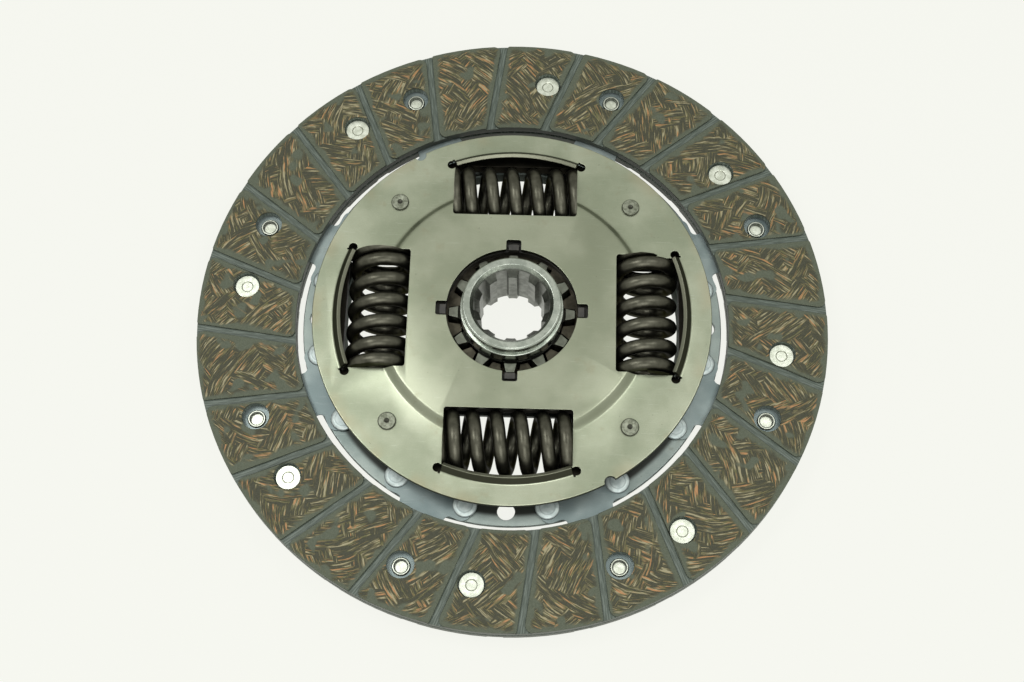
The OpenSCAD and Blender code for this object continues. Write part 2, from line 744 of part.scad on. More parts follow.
module carrier_plate() {
    color("darkgray") {
        difference() {
            translate([0, 0, carrier_z])
                rotate_extrude($fn = 180)
                    polygon([
                        [carrier_bore_r, 0],
                        [carrier_r - edge_break, 0],
                        [carrier_r, edge_break],
                        [carrier_r, carrier_t - edge_break],
                        [carrier_r - edge_break, carrier_t],
                        [carrier_bore_r, carrier_t]
                    ]);
            cut_windows(carrier_window_in, carrier_z - over, carrier_top + over);
            around(window_count, 0)
                translate([segment_rivet_pcr, 0, carrier_z - over])
                    cylinder(h = carrier_t + 2 * over, d = open_hole_d, $fn = 48);
            at_pins()
                translate([0, 0, carrier_z - over])
                    cylinder(h = carrier_t + 2 * over, r = pin_tenon_d / 2 + rivet_fit, $fn = 48);
            at_segment_rivets()
                translate([0, 0, carrier_z - over])
                    cylinder(h = carrier_t + 2 * over,
                        r = segment_shank_d / 2 + rivet_fit, $fn = 48);
        }
        translate([0, 0, carrier_z])
            mirror([0, 0, 1])
                lips(carrier_t, carrier_lip_len);
    }
}

// Height of the retainer plate's step at radius r, above its outer zone
function joggle(r) =
    let (s = min(1, max(0, (raised_r + joggle_w - r) / joggle_w)))
    retainer_raise * (3 * s * s - 2 * s * s * s);
joggle_steps = 10;
function joggle_line() =
    [for (i = [0:joggle_steps])
        let (r = raised_r + joggle_w * i / joggle_steps)
        [r, joggle(r)]];

// Outline of one notch in the centre hole along +X, for a lug
function lug_notch_outline() =
    let (half = lug_w / 2 + lug_side_gap)
    let (mouth = centre_hole_r - 2)
    let (bottom = centre_hole_r + lug_notch)
    rounded([
        [[mouth, -half], 0],
        [[bottom, -half], lug_notch_r],
        [[bottom, half], lug_notch_r],
        [[mouth, half], 0]
    ], 4);

module retainer_plate() {
    low = joggle_line();
    high = [for (i = [joggle_steps:-1:0]) low[i] + [0, retainer_t]];
    color("tan") {
        difference() {
            translate([0, 0, retainer_z])
                rotate_extrude($fn = 180)
                    polygon(concat(
                        [[centre_hole_r, retainer_raise]],
                        low,
                        [
                            [retainer_r - edge_break, 0],
                            [retainer_r, edge_break],
                            [retainer_r, retainer_t - edge_break],
                            [retainer_r - edge_break, retainer_t]
                        ],
                        high,
                        [[centre_hole_r, retainer_raise + retainer_t]]));
            cut_windows(retainer_window_in, retainer_z - over, raised_z + retainer_t + over);
            around(window_count, 0)
                translate([0, 0, raised_z - over])
                    linear_extrude(retainer_t + 2 * over)
                        polygon(lug_notch_outline());
            at_pins()
                translate([0, 0, retainer_z - over])
                    cylinder(h = retainer_t + 2 * over,
                        r = pin_tenon_d / 2 + rivet_fit, $fn = 48);
            around(2, rim_notch_angle)
                translate([retainer_r, 0, retainer_z - over])
                    cylinder(h = retainer_t + 2 * over, r = rim_notch_r, $fn = 48);
        }
        translate([0, 0, retainer_top])
            lips(retainer_t, retainer_lip_len);
    }
}

module stop_pins() {
    head_r = pin_head_d / 2;
    tenon_r = pin_tenon_d / 2;
    low = carrier_z - pin_head_t;
    high = retainer_top + pin_head_t;
    color("goldenrod")
        at_pins()
            rotate_extrude($fn = 48)
                polygon([
                    [0, low + pin_dimple],
                    [pin_dimple_r, low],
                    [head_r - pin_bevel, low],
                    [head_r, low + pin_bevel],
                    [head_r, carrier_z],
                    [tenon_r, carrier_z],
                    [tenon_r, carrier_top],
                    [pin_d / 2, carrier_top],
                    [pin_d / 2, retainer_z],
                    [tenon_r, retainer_z],
                    [tenon_r, retainer_top],
                    [head_r, retainer_top],
                    [head_r, high - pin_bevel],
                    [head_r - pin_bevel, high],
                    [pin_dimple_r, high],
                    [0, high - pin_dimple]
                ]);
}

// Half of the angle that a hub tooth covers at radius r
function tooth_half_deg(r) =
    let (s = (r - hub_r) / (tooth_r - hub_r))
    asin((tooth_root_w + (tooth_tip_w - tooth_root_w) * s) / 2 / r);
tooth_pitch = 360 / tooth_count;
// Radii of the flange's teeth, which run between the hub's teeth
flange_tip_r = hub_r + tooth_gap;
flange_root_r = tooth_r + tooth_gap;
// Half of the angle that a flange tooth covers at radius r
function flange_tooth_half_deg(r) =
    tooth_pitch / 2 - tooth_half_deg(r) - hub_play - tooth_gap_deg;

// Outline of the internal splines
module spline_outline() {
    circle(d = spline_minor_d);
    intersection() {
        circle(d = spline_major_d);
        for (i = [0:spline_count - 1])
            rotate(i * 360 / spline_count)
                translate([0, -spline_w / 2])
                    square([spline_major_d, spline_w]);
    }
}

module hub() {
    lead = lead_in_r - spline_minor_d / 2;
    color("lightgray")
        difference() {
            union() {
                rotate_extrude($fn = 128)
                    polygon([
                        [0, 0],
                        [tail_r - hub_bevel, 0],
                        [tail_r, hub_bevel],
                        [tail_r, tail_len],
                        [hub_r, tail_len + tail_step / 2],
                        [hub_r, collar_top - hub_edge],
                        [hub_r - hub_edge, collar_top],
                        [nose_r, collar_top],
                        [nose_r, hub_len - hub_bevel],
                        [nose_r - hub_bevel, hub_len],
                        [0, hub_len]
                    ]);
                around(tooth_count, 0)
                    translate([0, 0, flange_z])
                        linear_extrude(tooth_len)
                            polygon([
                                [hub_r - 2, -tooth_root_w / 2],
                                [hub_r, -tooth_root_w / 2],
                                [tooth_r - hub_edge, -tooth_tip_w / 2],
                                [tooth_r, -tooth_tip_w / 2 + hub_edge],
                                [tooth_r, tooth_tip_w / 2 - hub_edge],
                                [tooth_r - hub_edge, tooth_tip_w / 2],
                                [hub_r, tooth_root_w / 2],
                                [hub_r - 2, tooth_root_w / 2]
                            ]);
            }
            translate([0, 0, -over])
                linear_extrude(hub_len + 2 * over)
                    spline_outline();
            translate([0, 0, -over])
                cylinder(h = lead + over, r1 = lead_in_r + over, r2 = lead_in_r - lead);
            translate([0, 0, hub_len - lead_len])
                cylinder(
                    h = lead_len + over,
                    r1 = lead_in_r - lead,
                    r2 = lead_in_r + over * lead / lead_len);
            ring(hub_r - relief_in, hub_r + relief_w, flange_z + tooth_len - relief_below,
                relief_below + relief_above);
        }
}

// Outline of one window of the hub flange along +X
function flange_window_outline() =
    rounded([
        [[flange_window_in, -window_half], flange_inner_corner_r],
        [[flange_window_out, -window_half], flange_outer_corner_r],
        [[flange_window_out, window_half], flange_outer_corner_r],
        [[flange_window_in, window_half], flange_inner_corner_r]
    ], 5);

// Outline of one open notch of the hub flange along +X, for a stop pin
function notch_outline() =
    let (half = flange_travel + asin(pin_d / 2 / pin_pcr) + stop_gap_deg)
    let (bottom = pin_pcr - pin_d / 2 - notch_gap)
    rounded(concat(
        [[polar(flange_r + 3, -half), 0], [polar(flange_r + 3, half), 0]],
        [[polar(bottom, half), notch_corner_r]],
        plain(arc([0, 0], bottom, half - 3.5, -half + 3.5, 6)),
        [[polar(bottom, -half), notch_corner_r]]), 5);

module hub_flange() {
    tip_w = 2 * flange_tip_r * sin(flange_tooth_half_deg(flange_tip_r));
    root_w = 2 * flange_root_r * sin(flange_tooth_half_deg(flange_root_r));
    color("dimgray")
        translate([0, 0, flange_z])
            linear_extrude(flange_t) {
                difference() {
                    circle(r = flange_r, $fn = 180);
                    circle(r = flange_root_r, $fn = 96);
                    around(window_count, 0)
                        polygon(flange_window_outline());
                    around(window_count, window_pitch / 2)
                        polygon(notch_outline());
                }
                around(tooth_count, tooth_pitch / 2)
                    polygon([
                        [flange_tip_r, -tip_w / 2],
                        [flange_root_r, -root_w / 2],
                        [flange_root_r + 1, -root_w / 2],
                        [flange_root_r + 1, root_w / 2],
                        [flange_root_r, root_w / 2],
                        [flange_tip_r, tip_w / 2]
                    ]);
            }
}

// Coil along X about the origin. Both ends close up and are ground flat
spring_len = 2 * (window_half - spring_end_gap);
tip_x = tip_t - wire_d / 2;
closed_pitch = wire_d + closed_gap;
open_pitch = (spring_len - 2 * tip_x - (2 + opening_turns) * closed_pitch)
    / (spring_turns - 2 - opening_turns);
function from_end(t) =
    t < 1
        ? tip_x + closed_pitch * t
        : t < 1 + opening_turns
            ? tip_x + closed_pitch * t
                + (open_pitch - closed_pitch) * (t - 1) * (t - 1) / 2 / opening_turns
            : from_end(1 + opening_turns - 0.000001)
                + open_pitch * (t - 1 - opening_turns);
function pitch_at(t) =
    let (u = max(0, min(t - 1, spring_turns - t - 1, opening_turns)))
    closed_pitch + (open_pitch - closed_pitch) * u / opening_turns;
function along(t) =
    t < spring_turns / 2
        ? from_end(t) - spring_len / 2
        : spring_len / 2 - from_end(spring_turns - t);
ring_sides = 10;
rings_per_turn = 20;
function coil_ring(t, start) =
    let (coil_r = (spring_od - wire_d) / 2)
    let (a = start + 360 * t)
    let (out = [0, cos(a), sin(a)])
    let (slope = atan(pitch_at(t) / (2 * PI * coil_r)))
    let (side = [cos(slope), sin(slope) * sin(a), -sin(slope) * cos(a)])
    let (c = [along(t), 0, 0] + coil_r * out)
    [for (i = [0:ring_sides - 1])
        let (b = 360 * i / ring_sides)
        c + wire_d / 2 * (cos(b) * out + sin(b) * side)];

module damper_spring(start) {
    count = round(spring_turns * rings_per_turn);
    points = [for (i = [0:count]) each coil_ring(spring_turns * i / count, start)];
    n = ring_sides;
    sides = [for (i = [0:count - 1]) for (j = [0:n - 1])
        let (k = (j + 1) % n)
        each [
            [i * n + j, i * n + k, (i + 1) * n + k],
            [i * n + j, (i + 1) * n + k, (i + 1) * n + j]
        ]];
    first = [for (j = [1:n - 2]) [0, j + 1, j]];
    last = [for (j = [1:n - 2]) [count * n, count * n + j, count * n + j + 1]];
    intersection() {
        polyhedron(points = points, faces = concat(sides, first, last));
        cube([spring_len, 2 * spring_od, 2 * spring_od], center = true);
    }
}

// One spring in its window, along the tangent at angle a
module spring_at(a, start) {
    color("darkslategray")
        rotate(a)
            translate([spring_r, 0, flange_z + flange_t / 2])
                rotate(90)
                    damper_spring(start);
}

module damper_spring_1() { spring_at(0, spring_start_1); }
module damper_spring_2() { spring_at(90, spring_start_2); }
module damper_spring_3() { spring_at(180, spring_start_3); }
module damper_spring_4() { spring_at(270, spring_start_4); }

module thrust_ring() {
    color("sienna") {
        ring(thrust_in_r, thrust_r, thrust_z, thrust_t);
        around(window_count, 0)
            intersection() {
                ring(thrust_in_r, thrust_in_r + lug_depth, thrust_z, raised_z - thrust_z + lug_rise);
                translate([0, -lug_w / 2, 0])
                    cube([thrust_r, lug_w, raised_z + lug_rise + over]);
            }
    }
}

module disc_spring() {
    color("lightslategray")
        translate([0, 0, disc_spring_z])
            rotate_extrude($fn = 128)
                polygon([
                    [disc_spring_in_r, 0],
                    [disc_spring_r, disc_spring_h - disc_spring_t],
                    [disc_spring_r, disc_spring_h],
                    [disc_spring_in_r, disc_spring_t]
                ]);
}

module friction_ring_gearbox_side() {
    color("saddlebrown")
        ring(thrust_in_r + bore_step, friction_ring_r, flange_top, gear_ring_t);
}

module friction_ring_flywheel_side() {
    color("saddlebrown")
        ring(bush_flange_r + bush_ring_gap, friction_ring_r, carrier_top, fly_ring_t);
}

module centring_bush() {
    color("peru")
        rotate_extrude($fn = 96)
            polygon([
                [hub_r + bush_play, carrier_z],
                [carrier_bore_r - bush_fit, carrier_z],
                [carrier_bore_r - bush_fit, carrier_top],
                [bush_flange_r, carrier_top],
                [bush_flange_r, flange_z - bush_gap],
                [hub_r + bush_play, flange_z - bush_gap]
            ]);
}

facing_gearbox_side();
facing_flywheel_side();
facing_rivets_gearbox_side();
facing_rivets_flywheel_side();
cushion_segment_1();
cushion_segment_2();
cushion_segment_3();
cushion_segment_4();
cushion_segment_5();
cushion_segment_6();
cushion_segment_7();
cushion_segment_8();
segment_rivets();
carrier_plate();
retainer_plate();
stop_pins();
hub();
hub_flange();
damper_spring_1();
damper_spring_2();
damper_spring_3();
damper_spring_4();
thrust_ring();
disc_spring();
friction_ring_gearbox_side();
friction_ring_flywheel_side();
centring_bush();
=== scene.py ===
import math

import bmesh
import bpy
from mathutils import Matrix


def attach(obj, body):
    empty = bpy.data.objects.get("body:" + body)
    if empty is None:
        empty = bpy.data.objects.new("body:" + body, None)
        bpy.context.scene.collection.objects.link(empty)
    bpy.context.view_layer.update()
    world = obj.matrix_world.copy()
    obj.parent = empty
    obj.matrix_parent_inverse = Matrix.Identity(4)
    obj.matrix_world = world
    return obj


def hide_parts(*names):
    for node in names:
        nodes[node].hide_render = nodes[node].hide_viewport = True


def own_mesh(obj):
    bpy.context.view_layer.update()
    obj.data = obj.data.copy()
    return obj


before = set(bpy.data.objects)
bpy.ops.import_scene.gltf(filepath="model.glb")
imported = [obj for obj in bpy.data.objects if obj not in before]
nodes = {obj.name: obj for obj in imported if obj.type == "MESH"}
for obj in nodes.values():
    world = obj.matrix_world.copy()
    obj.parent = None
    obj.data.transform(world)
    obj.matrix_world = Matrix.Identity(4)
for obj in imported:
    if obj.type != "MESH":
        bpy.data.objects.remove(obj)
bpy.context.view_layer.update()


# Camera
# Held above the gearbox side, a little towards -Y, so that the disc fills most of the frame.

bpy.ops.object.select_all(action="DESELECT")
bpy.ops.object.camera_add(
    location=(0.009886, -0.223405, 0.566821),
    rotation=(math.radians(21.160), math.radians(0.3325), math.radians(1.7010)))
camera = bpy.context.object
camera.name = "camera"
camera.data.sensor_width = 36
camera.data.lens = 55.145
camera.data.clip_start = 0.01
bpy.context.scene.camera = camera
bpy.context.scene.view_settings.view_transform = "Standard"


# Floor and lamps
# A pale paper sweep under the disc in a room of even light, with softboxes to the left, in front
# and to the right that the bare metal and the springs mirror.

class Signal:
    """A socket in a material's nodes. Arithmetic on signals adds Math nodes."""

    def __init__(self, tree, socket=None):
        self.tree = tree
        self.socket = socket

    def node(self, kind, settings=None, inputs=None, out=0):
        """Adds a node, sets it up, feeds its sockets and gives one of its outputs."""
        made = self.tree.nodes.new("ShaderNode" + kind)
        for key, value in (settings or {}).items():
            if key == "stops":
                ramp = made.color_ramp.elements
                while len(ramp) < len(value):
                    ramp.new(1)
                for stop, (place, shade) in zip(ramp, value):
                    stop.position = place
                    stop.color = (*shade, 1)
            else:
                setattr(made, key, value)
        for key, value in (inputs or {}).items():
            socket = made.inputs[key]
            if isinstance(value, Signal):
                self.tree.links.new(value.socket, socket)
            elif socket.type == "RGBA":
                socket.default_value = (*value, 1)
            else:
                socket.default_value = value
        return Signal(self.tree, made.outputs[out] if len(made.outputs) else None)

    def math(self, operation, *values):
        return self.node("Math", {"operation": operation}, dict(enumerate(values)))

    def __add__(self, other):
        return self.math("ADD", self, other)

    def __sub__(self, other):
        return self.math("SUBTRACT", self, other)

    def __rsub__(self, other):
        return self.math("SUBTRACT", other, self)

    def __mul__(self, other):
        return self.math("MULTIPLY", self, other)

    def __truediv__(self, other):
        return self.math("DIVIDE", self, other)

    __radd__ = __add__
    __rmul__ = __mul__

    def rise(self, low, high):
        """0 at low, 1 at high and a soft step between them."""
        return self.node("MapRange", {"interpolation_type": "SMOOTHSTEP"},
                         {"Value": self, "From Min": low, "From Max": high})

    def paint(self, under, over):
        """The colour under where this is 0, and over where it is 1."""
        return self.node("Mix", {"data_type": "RGBA"}, {0: self, 6: under, 7: over}, out=2)

    def noise(self, scale, detail=2.0, roughness=0.5):
        """Cloudy values from 0 to 1 on this vector, with so many lumps to its unit."""
        return self.node("TexNoise", None, {"Vector": self, "Scale": scale,
                                            "Detail": detail, "Roughness": roughness})

    def stretched(self, x, y, z):
        """This vector with its parts multiplied."""
        return self.node("VectorMath", {"operation": "MULTIPLY"}, {0: self, 1: (x, y, z)})

    def axes(self):
        """The x, y and z of this vector."""
        return [self.node("SeparateXYZ", None, {0: self}, out=axis) for axis in "XYZ"]

    def diagonal(self, other):
        """How far a point is, that is this far one way and other far across."""
        return self.math("SQRT", self * self + other * other)


def empty_tree(holder):
    """The emptied nodes of a material or world, to start from."""
    holder.use_nodes = True
    holder.node_tree.nodes.clear()
    return Signal(holder.node_tree)


def background_rays(start):
    """1 for the camera's, mirrored and clear rays, 0 for those that light the disc."""
    kinds = [start.node("LightPath", out="Is %s Ray" % kind)
             for kind in ("Camera", "Glossy", "Transmission")]
    return start.math("MAXIMUM", kinds[0], start.math("MAXIMUM", kinds[1], kinds[2]))


paper = (0.922, 0.93, 0.871)
paper_shown = 0.94
room_light = 0.3

bpy.ops.object.select_all(action="DESELECT")
bpy.ops.mesh.primitive_plane_add(size=8, location=(0, 0, 0))
floor = bpy.context.object
floor.name = "floor"
floor.data.materials.append(bpy.data.materials.new("paper_sweep"))
start = empty_tree(floor.data.materials[0])
start.node("OutputMaterial", None, {"Surface": start.node("MixShader", None, {
    0: background_rays(start) * paper_shown,
    1: start.node("BsdfDiffuse", None, {"Color": paper}),
    2: start.node("Emission", None, {"Color": paper, "Strength": 1.0})})})

room = bpy.data.worlds.new("room")
bpy.context.scene.world = room
start = empty_tree(room)
start.node("OutputWorld", None, {"Surface": start.node("MixShader", None, {
    0: background_rays(start),
    1: start.node("Background", None, {"Color": (1, 1, 0.98), "Strength": room_light}),
    2: start.node("Background", None, {"Color": paper, "Strength": 1.0})})})


def lamp(name, place, size, power):
    """A square lamp at a place, turned to the disc."""
    bpy.ops.object.select_all(action="DESELECT")
    bpy.ops.object.light_add(type="AREA", location=place)
    made = bpy.context.object
    made.name = name
    made.data.size = size
    made.data.energy = power
    aim = made.location.to_track_quat("Z", "Y")
    made.rotation_euler = aim.to_euler()
    return made


lamp("left_softbox", (-0.42, 0.08, 0.9), 0.35, 3.3)
lamp("front_softbox", (0.1, -0.75, 0.75), 0.6, 4.2)
lamp("right_softbox", (0.44, 0.06, 0.9), 0.4, 2.0)


# Carrier plate
# The plate on the flywheel side that carries the cushion segments: 2 mm sheet steel, blanked and
# pressed, its window lips bent down, with a thin grey-blue phosphate coat.

MM = 0.001
merge_gap = 0.002
flat_within = 0.2


def select_only(piece):
    bpy.ops.object.select_all(action="DESELECT")
    piece.select_set(True)
    bpy.context.view_layer.objects.active = piece


def mark_outer_edges(piece, angle, heights):
    """Marks for the bevel the edges that stand out and are sharper than the angle. Where heights
    are given, only the level edges at one of them."""
    solid = bmesh.new()
    solid.from_mesh(piece.data)
    marks = []
    for edge in solid.edges:
        ends = [end.co.z / MM for end in edge.verts]
        level = heights is None or any(max(abs(z - height) for z in ends) < 0.01
                                       for height in heights)
        marks.append(float(level and edge.is_manifold and edge.is_convex
                           and edge.calc_face_angle() > angle))
    solid.free()
    piece.data.attributes.new("bevel_weight_edge", "FLOAT", "EDGE").data.foreach_set("value", marks)


def finished(node, body, broken_edge, smooth_below=35, heights=None, quartered=False):
    """A copy of a CAD solid with whole faces, smooth round walls and broken edges, in its place.
    Heights leaves every edge sharp that isn't level at one of them. Quartered keeps a face that
    runs all the way round in four parts."""
    piece = bpy.data.objects.new(node + "_finished", nodes[node].data.copy())
    bpy.context.scene.collection.objects.link(piece)
    piece.data.materials.clear()
    select_only(piece)
    bpy.ops.mesh.customdata_custom_splitnormals_clear()
    bpy.ops.object.mode_set(mode="EDIT")
    bpy.ops.mesh.select_all(action="SELECT")
    bpy.ops.mesh.remove_doubles(threshold=merge_gap * MM)
    cuts = ((1, 0, 0), (0, 1, 0)) if quartered else ()
    for across in cuts:
        bpy.ops.mesh.select_all(action="SELECT")
        bpy.ops.mesh.bisect(plane_co=(0, 0, 0), plane_no=across, threshold=merge_gap * MM)
        bpy.ops.mesh.mark_seam()
    bpy.ops.mesh.select_all(action="SELECT")
    bpy.ops.mesh.dissolve_limited(angle_limit=math.radians(flat_within), delimit={"SEAM"})
    bpy.ops.object.mode_set(mode="OBJECT")
    bpy.ops.object.shade_smooth_by_angle(angle=math.radians(smooth_below))
    if broken_edge:
        mark_outer_edges(piece, math.radians(smooth_below), heights)
        bevel = piece.modifiers.new("broken_edge", "BEVEL")
        bevel.width = broken_edge * MM
        bevel.segments = 2
        bevel.limit_method = "WEIGHT"
        bevel.use_clamp_overlap = False
        bevel.harden_normals = True
        bpy.ops.object.modifier_apply(modifier=bevel.name)
    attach(piece, body)
    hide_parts(node)
    return piece


def new_finish(name):
    """A material, and its Object coordinates in millimetres."""
    made = bpy.data.materials.new(name)
    start = empty_tree(made)
    metres = start.node("TexCoord", out="Object")
    return made, start.node("VectorMath", {"operation": "SCALE"}, {0: metres, "Scale": 1000.0})


def surface(place, colour, roughness, metallic, height=None, relief=0.1, **plain):
    """The end of a finish: one shader, with a bump of so many millimetres from height."""
    inputs = {"Base Color": colour, "Roughness": roughness, "Metallic": metallic}
    if height is not None:
        inputs["Normal"] = place.node("Bump", None, {"Height": height, "Strength": 1.0,
                                                     "Distance": relief * MM})
    inputs.update({key.replace("_", " ").title().replace("Ior", "IOR"): value
                   for key, value in plain.items()})
    place.node("OutputMaterial", None, {"Surface": place.node("BsdfPrincipled", None, inputs)})


def sheet_steel(name, light, dark, rust, roughness, stain_share=0.3, forming_and_shade=None, metallic=0.9):
    """Sheet steel: cloudy coat, fine grain, rubbed scratches, brown specks. Masks from x, y and z,
    each with its colour, can be laid over the rest: faces that forming has changed, and painted
    shade."""
    made, place = new_finish(name)
    cloud = place.noise(0.045, 3.0, 0.55)
    grain = place.noise(4.0, 3.0, 0.7)
    rubbed = place.stretched(0.15, 3.0, 1).noise(1.0, 2.0, 0.6)
    tint = cloud.rise(0.35, 0.68)
    base = tint.paint(dark, light)
    base = (grain.rise(0.3, 0.75) * 0.16).paint(base, (0.02, 0.02, 0.015))
    base = (rubbed.rise(0.62, 0.78) * 0.12).paint(base, (0.9, 0.92, 0.85))
    stain = place.noise(0.12, 4.0, 0.62).rise(0.6, 0.74) * stain_share
    base = stain.paint(base, rust)
    fleck = place.noise(1.1, 2.0, 0.5).rise(0.74, 0.8) * 0.55
    base = fleck.paint(base, (0.05, 0.04, 0.025))
    if forming_and_shade:
        for mask, colour in forming_and_shade(place, *place.axes()):
            base = mask.paint(base, colour)
    rough = roughness + (cloud - 0.5) * 0.12 + (grain - 0.5) * 0.1 + stain * 0.2
    surface(place, base, rough, metallic, grain * 0.6 + rubbed * 0.4, 0.012,
            specular_tint=(0.5, 0.5, 0.5))
    return made


carrier_z = 6.05
retainer_rim_r = 75.4
carrier_lip_r = 60.0


def shade_between_plates(place, x, y, z):
    """Painted shade: near black on the faces that lie between the plates, inside the retainer plate's
    rim, and dark on the lips bent down.
    """
    radius = x.diagonal(y)
    covered = 1 - radius.rise(retainer_rim_r - 0.4, retainer_rim_r + 1.6)
    # painted shade: near black between the plates, dark on the lips bent down
    between = covered * z.rise(carrier_z + 0.2, carrier_z + 0.35)
    lip = radius.rise(carrier_lip_r, carrier_lip_r + 1) * z.rise(carrier_z - 0.3, carrier_z - 0.6)
    return (between * 0.95, (0.028, 0.03, 0.025)), (lip * 0.8, (0.05, 0.055, 0.045))


phosphated = sheet_steel("phosphated_carrier", (0.37, 0.43, 0.4), (0.21, 0.26, 0.245),
                         (0.2, 0.17, 0.11), roughness=0.42, stain_share=0.3, forming_and_shade=shade_between_plates,
                         metallic=0.6)
carrier = finished("carrier_plate", "disc", broken_edge=0.2)
carrier.data.materials.append(phosphated)


# Centring bush
# The bush on which the hub runs in the carrier plate's bore: a moulded ring of brown filled
# plastic with a flange, pressed in by hand.

def moulded(name, colour, worn, roughness):
    """Filled plastic: matt skin with flow marks, polished where a part rubs on it."""
    made, place = new_finish(name)
    flow = place.noise(0.4, 3.0, 0.6)
    pores = place.noise(6.0, 2.0, 0.6)
    base = flow.rise(0.35, 0.7).paint(colour, worn)
    base = (pores.rise(0.66, 0.75) * 0.5).paint(base, (0.015, 0.012, 0.01))
    surface(place, base, roughness + (flow - 0.5) * 0.2, 0.0, pores, 0.01)
    return made


bush = finished("centring_bush", "disc", broken_edge=0.15)
bush.data.materials.append(moulded("bush_moulding", (0.10, 0.065, 0.03), (0.17, 0.12, 0.06), 0.45))


# Friction rings
# Two flat rings of friction plastic, one on each face of the hub flange, moulded and polished
# by the flange that turns against them.

ring_moulding = moulded("friction_ring_moulding", (0.035, 0.033, 0.03), (0.075, 0.07, 0.06), 0.5)
for node in ("friction_ring_flywheel_side", "friction_ring_gearbox_side"):
    finished(node, "disc", broken_edge=0.12).data.materials.append(ring_moulding)


# Hub flange
# The plate that the springs drive: 5 mm steel, fine blanked, with inner teeth that the hub's
# teeth meet. Hardened, so it is brown-grey round the hub; further out it is painted near black as
# shade.

def hardened(name, skin, bare, roughness, shade_from_r=None):
    """Hardened steel: mottled scale, with brighter rubbed spots and fine pits, and painted shade,
    near black, outside the radius that is given."""
    made, place = new_finish(name)
    mottle = place.noise(0.25, 4.0, 0.65)
    grain = place.noise(3.0, 3.0, 0.6)
    base = mottle.rise(0.3, 0.72).paint(skin, bare)
    base = (grain.rise(0.6, 0.75) * 0.4).paint(base, (0.03, 0.028, 0.022))
    if shade_from_r:
        x, y, z = place.axes()
        # painted shade: near black outside this radius, where the flange lies between the plates
        outer_shade = x.diagonal(y).rise(shade_from_r, shade_from_r + 2)
        base = (outer_shade * 0.9).paint(base, (0.014, 0.013, 0.01))
    surface(place, base, roughness + (mottle - 0.5) * 0.25, 0.95, grain, 0.02,
            specular_tint=(0.4, 0.4, 0.4))
    return made


flange_shade_r = 30.0
flange = finished("hub_flange", "flange", broken_edge=0.2)
flange.data.materials.append(hardened("hardened_flange", (0.035, 0.032, 0.024),
                                      (0.085, 0.077, 0.058), 0.4, flange_shade_r))


# Hub
# The splined hub: a steel forging with cut outer teeth and a broached bore. Nose, collar and
# chamfers are turned bright, and the teeth keep a duller cut face.

collar_r = 19.4
spline_floor_r = 14.3
teeth_top = 18.45


def turned_steel(name):
    """Turned and cut steel: fine feed lines, duller teeth and bore, and painted shade, near black, in
    the groove at the collar.
    """
    made, place = new_finish(name)
    x, y, z = place.axes()
    radius = x.diagonal(y)
    lines = place.node("CombineXYZ", None, {"X": radius, "Y": z * 0.02, "Z": 0.0})
    feed = lines.noise(5.0, 3.0, 0.7)
    patina = place.noise(0.3, 3.0, 0.6)
    cut = radius.rise(collar_r + 0.1, collar_r + 0.2)
    groove = radius.rise(collar_r - 0.8, collar_r - 0.6) * radius.rise(collar_r + 1.1, collar_r + 0.8)
    relief = groove * z.rise(teeth_top + 0.25, teeth_top + 0.05)
    bore = 1 - radius.rise(spline_floor_r + 0.1, spline_floor_r + 0.4)
    base = patina.rise(0.35, 0.7).paint((0.3, 0.33, 0.29), (0.42, 0.45, 0.4))
    base = cut.paint(base, patina.rise(0.3, 0.7).paint((0.1, 0.105, 0.085), (0.16, 0.17, 0.14)))
    # painted shade: the groove at the collar's foot near black
    base = (relief * 0.95).paint(base, (0.012, 0.012, 0.01))
    base = bore.paint(base, patina.rise(0.3, 0.7).paint((0.12, 0.125, 0.11), (0.24, 0.25, 0.225)))
    base = (place.noise(2.2, 3.0, 0.6).rise(0.62, 0.72) * 0.45).paint(base, (0.12, 0.11, 0.085))
    rough = 0.24 + cut * 0.16 + bore * 0.1 + (feed - 0.5) * 0.2
    surface(place, base, rough, 1.0, feed, 0.012)
    return made


hub = finished("hub", "hub", broken_edge=0.15, smooth_below=28, quartered=True)
hub.data.materials.append(turned_steel("turned_hub"))


# Damper springs
# Four coil springs of 5.2 mm oil-tempered wire, wound right-handed, the end turns closed up and
# ground flat, black with a film of oil. Each one shortens as the hub turns against the plates.

wire_d = 5.2
spring_od = 25.4
spring_turns = 7.06
spring_len = 47.36
closed_turns = 1.205
opening_turns = 0.5
closed_pitch = 5.6
first_x = -2.45
open_pitch = ((spring_len - 2 * first_x - (2 * closed_turns + opening_turns) * closed_pitch)
              / (spring_turns - 2 * closed_turns - opening_turns))
spring_r = 49.95
spring_z = 12.95
spring_starts = (95, 242, 2, 31)
wire_sides = 24
steps_per_turn = 32


def from_end(turns):
    """Distance of the wire's middle from the spring's end after so many turns."""
    opened = turns - closed_turns - opening_turns
    if opened > 0:
        return from_end(closed_turns + opening_turns) + open_pitch * opened
    opening = (open_pitch - closed_pitch) * max(turns - closed_turns, 0) ** 2 / 2 / opening_turns
    return first_x + closed_pitch * turns + opening


def along(turns):
    """Place of the wire's middle along the spring, from the spring's middle."""
    if turns < spring_turns / 2:
        return from_end(turns) - spring_len / 2
    return spring_len / 2 - from_end(spring_turns - turns)


def spring_wire(name):
    """Oiled black wire: drawing marks along it and thin oil."""
    made, place = new_finish(name)
    oil = place.noise(0.35, 3.0, 0.6)
    drawn = place.noise(2.5, 4.0, 0.7)
    base = oil.rise(0.35, 0.7).paint((0.06, 0.059, 0.045), (0.09, 0.088, 0.068))
    base = (drawn.rise(0.6, 0.72) * 0.4).paint(base, (0.025, 0.024, 0.018))
    surface(place, base, 0.38 + (oil - 0.5) * 0.15, 1.0, drawn, 0.003,
            specular_tint=(0.3, 0.3, 0.3))
    return made


